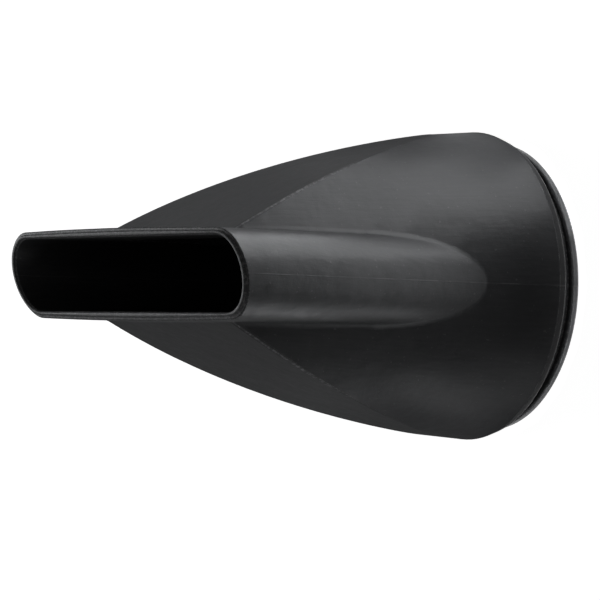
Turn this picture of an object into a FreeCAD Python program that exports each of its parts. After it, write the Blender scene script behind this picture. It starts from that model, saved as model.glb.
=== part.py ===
import FreeCAD, Part
import math
import os

# Sizes are in millimetres. The nozzle stands on its base: the axis is +Z and the base face is at Z = 0.
# X runs along the width of the slot and Y along its height.

# Spigot that pushes into the barrel of the dryer
ring_radius = 23.3
ring_height = 1.5
bead_round = 0.5
bead_foot_chamfer = 0.35
bead_step = 1.0
neck_height = 2.15
spigot_wall = 1.6
inlet_chamfer = 0.5

# Tapered round skirt above the spigot
shoulder_radius = 25.0
band_height = 1.45
band_taper = 0.5
skirt_draft_deg = 4.9
body_wall = 1.9

# Flat slot duct, which widens towards its slanted mouth
mouth_level = 69.8
mouth_slant_deg = 13.4
mouth_half_width = 35.55
mouth_half_height = 7.12
mouth_crown = 0.3
duct_tip_above_shoulder = 13.3
duct_bare_length = 7.9
duct_root_above_shoulder = 4.0

# Stepped rim round the mouth
ledge_width = 0.5
ledge_edge_chamfer = 0.2
lip_wall = 0.9
lip_rise = 0.35
lip_edge_chamfer = 0.2
lip_inner_chamfer = 0.3

# Curved bill faces above and below, and the rounding where the forms meet
bill_bulge = 2.7
bill_root_clearance = 0.66
crease_round = 0.8
duct_fillet = 1.3

# Overlaps that carry one form past another before they are joined or cut
joint_overlap = 1.5
cut_overlap = 5.0

# Distance within which an edge counts as lying on a surface
touch = 0.001

# Levels, radii and slopes that follow from the sizes above
neck_radius = ring_radius - bead_step
bore_radius = neck_radius - spigot_wall
band_level = ring_height + neck_height
shoulder_level = band_level + band_height
bill_front_level = mouth_level - duct_bare_length
duct_root_level = shoulder_level + duct_root_above_shoulder
overrun_level = mouth_level + cut_overlap
skirt_slope = math.tan(math.radians(skirt_draft_deg))
duct_tip_level = shoulder_level + duct_tip_above_shoulder
duct_tip_radius = shoulder_radius - skirt_slope * duct_tip_above_shoulder
duct_slope = (mouth_half_width - duct_tip_radius) / (mouth_level - duct_tip_level)
duct_flare_deg = math.degrees(math.atan(duct_slope))
mouth_wall = ledge_width + lip_wall

vec = FreeCAD.Vector
origin = vec(0, 0, 0)
axis_x = vec(1, 0, 0)
axis_y = vec(0, 1, 0)
axis_z = vec(0, 0, 1)


def line(start, end):
    return Part.makeLine(start, end)


def arc(start, through, end):
    return Part.Arc(start, through, end).toShape()


def carried_on(start, through, end, extra):
    """Point on the circle through three points, farther along than the end by the extra length."""
    circle = arc(start, through, end).Curve
    turn = FreeCAD.Rotation(circle.Axis, math.degrees(extra / circle.Radius))
    return circle.Center + turn.multVec(end - circle.Center)


def skirt(inset, foot_level):
    """Tapered round skirt from a foot level to just past the front of the bill faces."""
    nose_level = bill_front_level + joint_overlap
    foot_radius = shoulder_radius + skirt_slope * (shoulder_level - foot_level) - inset
    nose_radius = shoulder_radius + skirt_slope * (shoulder_level - nose_level) - inset
    return Part.makeCone(foot_radius, nose_radius, nose_level - foot_level, axis_z * foot_level, axis_z)


def bill(inset):
    """Prism between the two bill faces, which are arcs when seen along the width of the slot."""
    root = vec(0, shoulder_radius + bill_root_clearance, shoulder_level)
    front = vec(0, mouth_half_height, bill_front_level)
    outward = (front - root).cross(axis_x)
    outward.normalize()
    outward *= math.copysign(1.0, outward.y)
    crest = (root + front) * 0.5 + outward * bill_bulge
    nose = carried_on(root, crest, front, joint_overlap)
    root, crest, nose = [point - outward * inset for point in (root, crest, nose)]
    foot = vec(0, root.y, shoulder_level - cut_overlap)
    upper = [foot, root, crest, nose]
    lower = [vec(0, -point.y, point.z) for point in upper]
    edges = [line(upper[0], upper[1]), arc(*upper[1:]), line(upper[3], lower[3])]
    edges += [arc(*lower[:0:-1]), line(lower[1], lower[0]), line(lower[0], upper[0])]
    half_span = shoulder_radius + cut_overlap
    prism = Part.Face(Part.Wire(edges)).extrude(axis_x * (2.0 * half_span))
    prism.translate(axis_x * -half_span)
    return prism


def slot_outline(level, inset):
    """Slot with slightly crowned long sides and half-round ends, at one level of the widening duct."""
    half_width = mouth_half_width - duct_slope * (mouth_level - level) - inset
    crown_height = mouth_half_height - inset
    end_height = crown_height - mouth_crown
    end_centre = half_width - end_height
    top_near = vec(end_centre, end_height, level)
    low_near = vec(end_centre, -end_height, level)
    top_far = vec(-end_centre, end_height, level)
    low_far = vec(-end_centre, -end_height, level)
    top = arc(top_far, vec(0, crown_height, level), top_near)
    near = arc(top_near, vec(half_width, 0, level), low_near)
    low = arc(low_near, vec(0, -crown_height, level), low_far)
    far = arc(low_far, vec(-half_width, 0, level), top_far)
    return Part.Wire([top, near, low, far])


def duct(inset):
    """Outside of the duct, from its root inside the skirt to beyond the mouth."""
    outlines = [slot_outline(level, inset) for level in (duct_root_level, overrun_level)]
    return Part.makeLoft(outlines, True, True)


def air_slot():
    """Inside of the duct: a flat-sided slot whose half-round ends lean outwards with the walls."""
    half_height = mouth_half_height - mouth_wall
    centre_at_mouth = mouth_half_width - mouth_half_height / math.cos(math.radians(duct_flare_deg))
    root = vec(centre_at_mouth - duct_slope * (mouth_level - duct_root_level), 0, duct_root_level)
    tip = vec(centre_at_mouth + duct_slope * cut_overlap, 0, overrun_level)
    corners = [root, tip, vec(-tip.x, 0, tip.z), vec(-root.x, 0, root.z), root]
    core = Part.Face(Part.makePolygon(corners)).extrude(axis_y * (2.0 * half_height))
    core.translate(axis_y * -half_height)
    near_end = Part.makeCylinder(half_height, (tip - root).Length)
    near_end.rotate(origin, axis_z, 180)
    near_end.rotate(origin, axis_y, duct_flare_deg)
    near_end.translate(root)
    far_end = near_end.mirror(origin, axis_x)
    return core.fuse([near_end, far_end]).removeSplitter().Solids[0]


def beyond_mouth(rise):
    """Block in front of the slanted mouth plane, or of a plane that stands proud of it by the rise."""
    span = 4.0 * mouth_half_width
    block = Part.makeBox(span, span, span)
    block.translate(vec(-0.5 * span, -0.5 * span, rise))
    block.rotate(origin, axis_x, mouth_slant_deg)
    block.translate(axis_z * mouth_level)
    return block


def spigot():
    """Bead with a chamfered foot and a rounded top, neck and tapered shoulder band below the skirt."""
    foot = Part.makeCone(ring_radius - bead_foot_chamfer, ring_radius, bead_foot_chamfer)
    bead = Part.makeCylinder(ring_radius, ring_height - bead_foot_chamfer, axis_z * bead_foot_chamfer)
    top_edge = max(bead.Edges, key=lambda edge: edge.BoundBox.ZMin)
    bead = bead.makeFillet(bead_round, [top_edge])
    neck = Part.makeCylinder(neck_radius, neck_height, axis_z * ring_height)
    band = Part.makeCone(shoulder_radius - band_taper, shoulder_radius, band_height, axis_z * band_level)
    return bead.fuse([foot, neck, band]).Solids[0]


def edges_on(shape, *surfaces):
    """Edges of a shape whose middle lies on each of the given surfaces."""
    found = []
    for edge in shape.Edges:
        middle = Part.Vertex(edge.valueAt(0.5 * (edge.FirstParameter + edge.LastParameter)))
        if all(middle.distToShape(surface.Shells[0])[0] < touch for surface in surfaces):
            found.append(edge)
    return found


# Skirt trimmed to the bill faces, with the two creases rounded
body = skirt(0.0, shoulder_level).common(bill(0.0)).removeSplitter().Solids[0]
creases = []
for edge in body.Edges:
    if min(edge.BoundBox.XLength, edge.BoundBox.ZLength) > mouth_half_height:
        creases.append(edge)
body = body.makeFillet(crease_round, creases).Solids[0]

# Duct cut off at the slanted mouth and joined to the body with a hollow fillet
mouth_side = beyond_mouth(0.0)
tube = duct(0.0).cut(mouth_side).Solids[0]
tube = tube.makeChamfer(ledge_edge_chamfer, edges_on(tube, mouth_side)).Solids[0]
outside = body.fuse(tube).removeSplitter().Solids[0]
outside = outside.makeFillet(duct_fillet, edges_on(outside, body, tube)).Solids[0]

# Lip that stands proud of the ledge, and the spigot at the base
lip_side = beyond_mouth(lip_rise)
lip = duct(ledge_width).cut(lip_side).Solids[0]
lip = lip.makeChamfer(lip_edge_chamfer, edges_on(lip, lip_side)).Solids[0]
outside = outside.fuse([lip, spigot()]).removeSplitter().Solids[0]

# Air path: chamfered inlet bore, hollow of the body and inside of the duct
inlet = Part.makeCylinder(bore_radius, bill_front_level)
inlet_edge = Part.makeCone(bore_radius + inlet_chamfer, bore_radius, inlet_chamfer)
hollow = skirt(body_wall, 0.0).common(bill(body_wall)).common(inlet)
slot = air_slot()
nozzle = outside.cut(hollow.fuse([inlet_edge, slot])).removeSplitter().Solids[0]
nozzle = nozzle.makeChamfer(lip_inner_chamfer, edges_on(nozzle, lip_side, slot)).Solids[0]

os.makedirs("parts", exist_ok=True)
nozzle.exportStep("parts/nozzle_body.step")
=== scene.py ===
import math
import bpy
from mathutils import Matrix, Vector

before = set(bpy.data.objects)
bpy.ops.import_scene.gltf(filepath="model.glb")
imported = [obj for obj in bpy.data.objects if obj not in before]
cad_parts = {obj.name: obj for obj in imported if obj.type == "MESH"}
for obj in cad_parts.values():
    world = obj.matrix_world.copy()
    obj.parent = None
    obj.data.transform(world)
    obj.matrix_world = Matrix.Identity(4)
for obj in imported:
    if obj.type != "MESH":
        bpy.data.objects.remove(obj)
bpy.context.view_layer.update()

# Lengths are in metres and angles in degrees. The nozzle stands on the floor with its axis along Z.
MM = 0.001

# View that matches the photograph: the nozzle lies across the picture with its mouth to the left
IMAGE_WIDTH_PX = 600
FOCAL_PX = 3974.2
SENSOR_MM = 36.0
CAMERA_PLACE = (0.52823, -0.01160, 0.37835)
CAMERA_TURN = (2.694, 57.140, 2.287)

# Forms of the nozzle that the floor, the lamps and the wear follow. A bill face is an arc, and its centre
# is given as a distance from the middle of the nozzle and a level.
BEAD_RADIUS = 23.3 * MM
SHOULDER_RADIUS = 25.0 * MM
SHOULDER_LEVEL = 5.1 * MM
SKIRT_SLOPE = math.tan(math.radians(4.9))
SKIRT_FOOT_RADIUS = SHOULDER_RADIUS + SKIRT_SLOPE * SHOULDER_LEVEL
BILL_RADIUS = 166.63 * MM
BILL_CENTRE_OUT = -139.45 * MM
BILL_CENTRE_LEVEL = -17.37 * MM

# White studio: how white the floor looks to the camera, the share of that white in reflections, and the
# inner and outer edge of a ring beside the bead where the floor glows fully white in reflections, painted
# light that puts a highlight on the bead
FLOOR_HALF = 3.0
FLOOR_GREY = (0.4, 0.4, 0.4, 1.0)
WHITE = (1.0, 1.0, 1.0, 1.0)
BLACK = (0.0, 0.0, 0.0, 1.0)
FLOOR_WHITE = 0.975
WHITE_IN_REFLECTIONS = 0.03
BEAD_GLOW_RING_INNER = (BEAD_RADIUS - 0.9 * MM, BEAD_RADIUS - 0.3 * MM)
BEAD_GLOW_RING_OUTER = (BEAD_RADIUS + 0.6 * MM, BEAD_RADIUS + 1.6 * MM)
ROOM_LIGHT = 0.05

# Colour of all the lamps, and the angles that light leaves them in
COOL_WHITE = (0.965, 0.98, 1.0)
OPEN = 180.0
BEAD_OPEN = 120.0
HALF_OPEN = 110.0
NARROW = 80.0

# Soft panels round the nozzle: name, place, width and height, and brightness against white
PANEL_AIM = (0.0, 0.0, 0.035)
PANELS = (
    ("side_strip", (-0.15, 0.20, 0.03), (0.16, 0.05), 0.65),
    ("bead_strip", (0.12, 0.20, 0.03), (0.12, 0.05), 1.2),
    ("low_panel_far", (-0.22, -0.27, 0.08), (0.20, 0.14), 0.2),
    ("low_panel_near", (0.12, -0.33, 0.08), (0.16, 0.14), 0.6),
    ("back_softbox", (-0.30, 0.0, 0.18), (0.20, 0.20), 2.0),
)

# Low strips that stand round the near half of the bead and face it: bearing and brightness against white
BEAD_STRIP_DISTANCE = BEAD_RADIUS + 1.5 * MM
BEAD_STRIP_LEVEL = 0.45 * MM
BEAD_STRIP_SIZE = (8.0 * MM, 0.8 * MM)
BEAD_STRIPS = ((-70, 1.6), (-50, 1.6), (-30, 1.4), (-10, 1.4), (10, 1.4), (30, 3.0), (50, 3.0), (70, 2.0))

# Glowing pads that lie on the floor and face up: name, distance from the axis, bearing, depth and width,
# brightness against white, and the angle that the light leaves them in
PAD_LEVEL = 0.2 * MM
BY_BEAD = (0.020, 0.018)
NEAR = (0.029, 0.028)
FAR = (0.060, 0.050)
CREASE = (0.050, 0.045)
FRONT = (0.026, 0.028)
EDGE = (0.0026, 0.0105)
PADS = (
    ("pad_by_bead_low", 0.0400, -50.0, BY_BEAD, 0.36, OPEN),
    ("pad_by_bead_low_2", 0.0395, -73.0, BY_BEAD, 0.95, HALF_OPEN),
    ("pad_by_bead_1", 0.0400, 50.0, BY_BEAD, 2.0, OPEN),
    ("pad_by_bead_2", 0.0400, 75.0, BY_BEAD, 0.45, OPEN),
    ("pad_by_bead_3", 0.0400, 100.0, BY_BEAD, 0.45, OPEN),
    ("pad_near_low_1", 0.0645, -75.0, NEAR, 0.95, OPEN),
    ("pad_near_low_2", 0.0645, -100.0, NEAR, 4.0, HALF_OPEN),
    ("pad_near_1", 0.0645, 50.0, NEAR, 2.8, OPEN),
    ("pad_near_2", 0.0645, 75.0, NEAR, 2.4, OPEN),
    ("pad_near_3", 0.0645, 100.0, NEAR, 7.0, HALF_OPEN),
    ("pad_far_1", 0.1100, 50.0, FAR, 3.7, OPEN),
    ("pad_far_2", 0.1100, 75.0, FAR, 2.5, OPEN),
    ("pad_crease_top", 0.1050, 131.0, CREASE, 0.2, OPEN),
    ("pad_crease_low", 0.1050, -131.0, CREASE, 0.1, OPEN),
    ("pad_front_low", 0.0450, -18.0, FRONT, 0.50, NARROW),
    ("pad_front_high", 0.0450, 18.0, FRONT, 0.68, NARROW),
    ("pad_edge_1", 0.0297, -22.0, EDGE, 0.45, OPEN),
    ("pad_edge_2", 0.0297, 0.0, EDGE, 0.45, OPEN),
    ("pad_edge_3", 0.0297, 22.0, EDGE, 0.7, OPEN),
)

# Colours of the satin black plastic
PLASTIC_DARK = (0.040, 0.0405, 0.043, 1.0)
PLASTIC_LIGHT = (0.052, 0.0525, 0.055, 1.0)
# Painted highlight on the edges and along the parting line
PAINTED_HIGHLIGHT_TONE = (0.19, 0.19, 0.195, 1.0)
# Paler scuffs on edges and creases, partly wear and partly painted highlight
SCUFF_AND_HIGHLIGHT_TONE = (0.36, 0.36, 0.365, 1.0)
SPECK_TONE = (0.20, 0.20, 0.20, 1.0)

# Sizes of its patterns, and how far the drawing marks are stretched along the axis
CLOUD_SIZE = 9.0 * MM
RIPPLE_SIZE = 2.5 * MM
FINE_SIZE = 0.9 * MM
GRAIN_SIZE = 0.22 * MM
DRAWN_SIZE = 0.55 * MM
DRAWN_STRETCH = 14.0
BREAK_SIZE = 4.0 * MM
SPECK_SIZE = 0.5 * MM
SCUFF_SIZE = 0.6 * MM

# Values of a pattern between which a mark goes from absent to full
TONE_STEP = (0.38, 0.62)
BREAK_STEP = (0.42, 0.58)
SPECK_STEP = (0.79, 0.83)
SCUFF_STEP = (0.47, 0.60)
EDGE_STEP = (0.002, 0.025)

# Distances from the parting line and from a crease between which a mark goes from full to absent, and the
# levels between which the painted highlight and scuffs on the creases fade in
PARTING_BAND = (0.05 * MM, 0.13 * MM)
CREASE_BAND = (0.14 * MM, 0.32 * MM)
CREASE_SCUFF_AND_HIGHLIGHT_LEVELS = (30.0 * MM, 50.0 * MM)

# Rounding of the edges in the shading, and the strength and depth of the relief
EDGE_ROUND = 0.35 * MM
RELIEF_STRENGTH = 0.45
RELIEF_DEPTH = 0.02 * MM


class Value:
    """A socket of a shader tree that can be used in formulas."""

    def __init__(self, tree, socket=None):
        self.tree = tree
        self.socket = socket

    def node(self, kind, settings=None, out=0, **inputs):
        """A node of any type: its settings are set first, then the values or links of its sockets."""
        made = self.tree.nodes.new(kind)
        for key, value in (settings or {}).items():
            setattr(made, key, value)
        for key, value in inputs.items():
            if key.startswith("at_"):
                place = made.inputs[int(key[3:])]
            else:
                place = made.inputs[key.replace("_", " ")]
            if isinstance(value, Value):
                self.tree.links.new(value.socket, place)
            else:
                place.default_value = value
        return Value(self.tree, made.outputs[out] if made.outputs else None)

    def math(self, operation, *values):
        inputs = {"at_%d" % i: value for i, value in enumerate(values)}
        return self.node("ShaderNodeMath", {"operation": operation}, **inputs)

    def __add__(self, other):
        return self.math("ADD", self, other)

    def __radd__(self, other):
        return self.math("ADD", other, self)

    def __sub__(self, other):
        return self.math("SUBTRACT", self, other)

    def __rsub__(self, other):
        return self.math("SUBTRACT", other, self)

    def __mul__(self, other):
        return self.math("MULTIPLY", self, other)

    def __rmul__(self, other):
        return self.math("MULTIPLY", other, self)

    def __abs__(self):
        return self.math("ABSOLUTE", self)

    def rise(self, low, high):
        """0 below the low value, 1 above the high one, and a smooth step between them."""
        settings = {"interpolation_type": "SMOOTHSTEP"}
        return self.node("ShaderNodeMapRange", settings, Value=self, From_Min=low, From_Max=high)

    def near_zero(self, band):
        """1 where this value is close to 0, and a smooth step down to 0 between the two ends of a band."""
        return 1 - abs(self).rise(*band)

    def noise(self, size, detail=2.0, rough=0.5):
        """Cloudy pattern over this vector, with features of about the given size in metres."""
        inputs = {"Vector": self, "Scale": 1.0 / size, "Detail": detail, "Roughness": rough}
        return self.node("ShaderNodeTexNoise", {"noise_dimensions": "3D"}, **inputs)

    def scaled(self, x, y, z):
        """This vector with its three parts scaled."""
        return self.node("ShaderNodeVectorMath", {"operation": "MULTIPLY"}, at_0=self, at_1=(x, y, z))

    def length(self):
        return self.node("ShaderNodeVectorMath", {"operation": "LENGTH"}, out="Value", at_0=self)

    def dot(self, other):
        settings = {"operation": "DOT_PRODUCT"}
        return self.node("ShaderNodeVectorMath", settings, out="Value", at_0=self, at_1=other)

    def grade(self, amount, low, high):
        """A colour between two others, by an amount from 0 to 1."""
        settings = {"data_type": "RGBA", "clamp_factor": True}
        return self.node("ShaderNodeMix", settings, out=2, at_0=amount, at_6=low, at_7=high)

    def tint(self, amount, colour):
        """This colour mixed towards another one by an amount from 0 to 1."""
        return self.grade(amount, self, colour)


def new_material(name):
    """An empty material and a starting point for its formulas."""
    material = bpy.data.materials.new(name)
    material.use_nodes = True
    material.node_tree.nodes.clear()
    return material, Value(material.node_tree)


def satin_black_plastic():
    """Black moulded plastic with a grained skin, a parting line, dust specks, and edges and creases painted
    paler as highlights, with scuffs on them.
    """
    material, start = new_material("satin_black_plastic")
    place = start.node("ShaderNodeTexCoord", out="Object")
    apart = start.node("ShaderNodeSeparateXYZ", out="Y", Vector=place)
    level = start.node("ShaderNodeSeparateXYZ", out="Z", Vector=place)

    # Unevenness of the moulded skin, from wide waves down to the grain
    clouds = place.noise(CLOUD_SIZE, detail=3.0)
    ripples = place.noise(RIPPLE_SIZE)
    fine = place.noise(FINE_SIZE, detail=3.0)
    grain = place.noise(GRAIN_SIZE, rough=0.6)

    # Faint drawing marks that run with the axis, as the mould was polished that way
    drawn = place.scaled(1.0, 1.0, 1.0 / DRAWN_STRETCH).noise(DRAWN_SIZE, detail=3.0, rough=0.6)

    # Parting line of the mould, along the middle of both sides and fainter here and there: a ridge in the
    # relief, and painted paler along it as a highlight
    broken = place.noise(BREAK_SIZE).rise(*BREAK_STEP)
    parting = apart.near_zero(PARTING_BAND) * (0.35 + 0.65 * broken)

    # Sparse specks of dust and tiny nicks
    specks = place.noise(SPECK_SIZE, detail=0.0).rise(*SPECK_STEP)

    # Edges, found where a rounded normal leaves the true one and painted paler as a highlight, and the
    # scuffs on them, which are partly wear and partly painted highlight
    true_normal = start.node("ShaderNodeNewGeometry", out="Normal")
    round_normal = start.node("ShaderNodeBevel", {"samples": 6}, Radius=EDGE_ROUND)
    edges = (1 - true_normal.dot(round_normal)).rise(*EDGE_STEP)
    scuffs = place.noise(SCUFF_SIZE, detail=3.0, rough=0.7).rise(*SCUFF_STEP)
    edge_scuffs_and_highlight = edges * scuffs

    # Creases between the skirt and the bill faces, painted paler towards the mouth as a highlight, broken up
    # like scuffs
    off_skirt = place.scaled(1.0, 1.0, 0.0).length() + SKIRT_SLOPE * level - SKIRT_FOOT_RADIUS
    outward = abs(apart) - BILL_CENTRE_OUT
    upward = level - BILL_CENTRE_LEVEL
    off_bill = start.node("ShaderNodeCombineXYZ", X=outward, Y=upward).length() - BILL_RADIUS
    crease = off_skirt.near_zero(CREASE_BAND) * off_bill.near_zero(CREASE_BAND)
    crease_scuffs_and_highlight = crease * level.rise(*CREASE_SCUFF_AND_HIGHLIGHT_LEVELS) * (0.3 + 0.7 * scuffs)

    tone = 0.35 * clouds + 0.45 * drawn + 0.2 * grain
    colour = start.grade(tone.rise(*TONE_STEP), PLASTIC_DARK, PLASTIC_LIGHT)
    # Painted highlights: edges paler all round, with scuffs on them and the creases paler still, partly wear
    # and partly painted highlight
    colour = colour.tint(edges * 0.6, PAINTED_HIGHLIGHT_TONE).tint(edge_scuffs_and_highlight * 0.8, SCUFF_AND_HIGHLIGHT_TONE).tint(crease_scuffs_and_highlight, SCUFF_AND_HIGHLIGHT_TONE)
    # Painted highlight along the parting line, and dust specks
    colour = colour.tint(parting * 0.3, PAINTED_HIGHLIGHT_TONE).tint(specks * 0.25, SPECK_TONE)
    roughness = 0.33 + 0.08 * fine + 0.08 * clouds + 0.08 * drawn - 0.08 * edges
    height = grain + 2.5 * parting + fine + 2.6 * drawn + 5.0 * ripples + 20.0 * clouds
    relief_inputs = {"Strength": RELIEF_STRENGTH, "Distance": RELIEF_DEPTH, "Height": height}
    relief = start.node("ShaderNodeBump", Normal=round_normal, **relief_inputs)
    shader = start.node("ShaderNodeBsdfPrincipled", Base_Color=colour, Roughness=roughness, Normal=relief)
    start.node("ShaderNodeOutputMaterial", Surface=shader)
    return material


def seen_white(start, mirrored_share):
    """How white the studio looks: fully to the camera, and by a share in reflections and through glass."""
    camera = start.node("ShaderNodeLightPath", out="Is Camera Ray")
    mirrored = start.node("ShaderNodeLightPath", out="Is Glossy Ray")
    through = start.node("ShaderNodeLightPath", out="Is Transmission Ray")
    return camera + mirrored_share * (mirrored + through)


def pale_floor():
    """Floor that looks white and still takes the shadow of the nozzle, and a ring beside the bead that glows
    fully white in reflections, painted light for the bead's highlight.
    """
    material, start = new_material("pale_floor")
    distance = start.node("ShaderNodeTexCoord", out="Object").length()
    # Ring beside the bead that glows white in reflections, painted light for the bead's highlight
    bead_glow_ring = distance.rise(*BEAD_GLOW_RING_INNER) - distance.rise(*BEAD_GLOW_RING_OUTER)
    share = WHITE_IN_REFLECTIONS + (1 - WHITE_IN_REFLECTIONS) * bead_glow_ring
    lit = start.node("ShaderNodeBsdfDiffuse", Color=FLOOR_GREY)
    glow = start.grade(FLOOR_WHITE * seen_white(start, share), BLACK, WHITE)
    white = start.node("ShaderNodeEmission", Color=glow)
    both = start.node("ShaderNodeAddShader", at_0=lit, at_1=white)
    start.node("ShaderNodeOutputMaterial", Surface=both)
    return material


def make_floor():
    mesh = bpy.data.meshes.new("floor")
    corners = [(x * FLOOR_HALF, y * FLOOR_HALF, 0.0) for x, y in ((-1, -1), (1, -1), (1, 1), (-1, 1))]
    mesh.from_pydata(corners, [], [(0, 1, 2, 3)])
    mesh.materials.append(pale_floor())
    floor = bpy.data.objects.new("floor", mesh)
    bpy.context.collection.objects.link(floor)


def make_room():
    """World that looks white to the camera and gives the nozzle a little light from all round."""
    world = bpy.data.worlds.new("white_room")
    world.use_nodes = True
    world.node_tree.nodes.clear()
    start = Value(world.node_tree)
    amount = ROOM_LIGHT + (1 - ROOM_LIGHT) * seen_white(start, WHITE_IN_REFLECTIONS)
    light = start.node("ShaderNodeBackground", Color=start.grade(amount, BLACK, WHITE))
    start.node("ShaderNodeOutputWorld", Surface=light)
    bpy.context.scene.world = world


def soft_lamp(name, place, size, brightness, spread):
    """Rectangular area lamp, hidden from the camera, whose face is as bright as stated, where 1 is white."""
    data = bpy.data.lights.new(name, "AREA")
    data.shape = "RECTANGLE"
    data.size, data.size_y = size
    data.color = COOL_WHITE
    data.energy = math.pi * size[0] * size[1] * brightness
    data.spread = math.radians(spread)
    lamp = bpy.data.objects.new(name, data)
    lamp.location = place
    lamp.visible_camera = False
    bpy.context.collection.objects.link(lamp)
    return lamp


def on_bearing(distance, bearing, level):
    """Place at a distance from the axis, on a bearing that is counted from +X towards +Y."""
    turn = math.radians(bearing)
    return distance * math.cos(turn), distance * math.sin(turn), level


def make_panel(name, place, size, brightness, aim=PANEL_AIM, spread=OPEN):
    """Lamp that faces the point it is aimed at."""
    lamp = soft_lamp(name, place, size, brightness, spread)
    lamp.rotation_euler = (Vector(aim) - Vector(place)).to_track_quat("-Z", "Y").to_euler()


def make_bead_strip(bearing, brightness):
    place = on_bearing(BEAD_STRIP_DISTANCE, bearing, BEAD_STRIP_LEVEL)
    aim = (0.0, 0.0, BEAD_STRIP_LEVEL)
    make_panel("bead_strip_%d" % bearing, place, BEAD_STRIP_SIZE, brightness, aim, BEAD_OPEN)


def make_pad(name, distance, bearing, size, brightness, spread):
    """Lamp that lies on the floor and faces up."""
    lamp = soft_lamp(name, on_bearing(distance, bearing, PAD_LEVEL), size, brightness, spread)
    lamp.rotation_euler = (math.pi, 0.0, math.radians(bearing))


def make_camera():
    data = bpy.data.cameras.new("photo_camera")
    data.sensor_fit = "HORIZONTAL"
    data.sensor_width = SENSOR_MM
    data.lens = FOCAL_PX / IMAGE_WIDTH_PX * SENSOR_MM
    camera = bpy.data.objects.new("photo_camera", data)
    camera.location = CAMERA_PLACE
    camera.rotation_euler = [math.radians(angle) for angle in CAMERA_TURN]
    bpy.context.collection.objects.link(camera)
    bpy.context.scene.camera = camera


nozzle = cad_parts["nozzle_body"]
nozzle.data.materials.clear()
nozzle.data.materials.append(satin_black_plastic())

make_floor()
make_room()
for panel in PANELS:
    make_panel(*panel)
for strip in BEAD_STRIPS:
    make_bead_strip(*strip)
for pad in PADS:
    make_pad(*pad)
make_camera()
bpy.context.scene.view_settings.view_transform = "Standard"
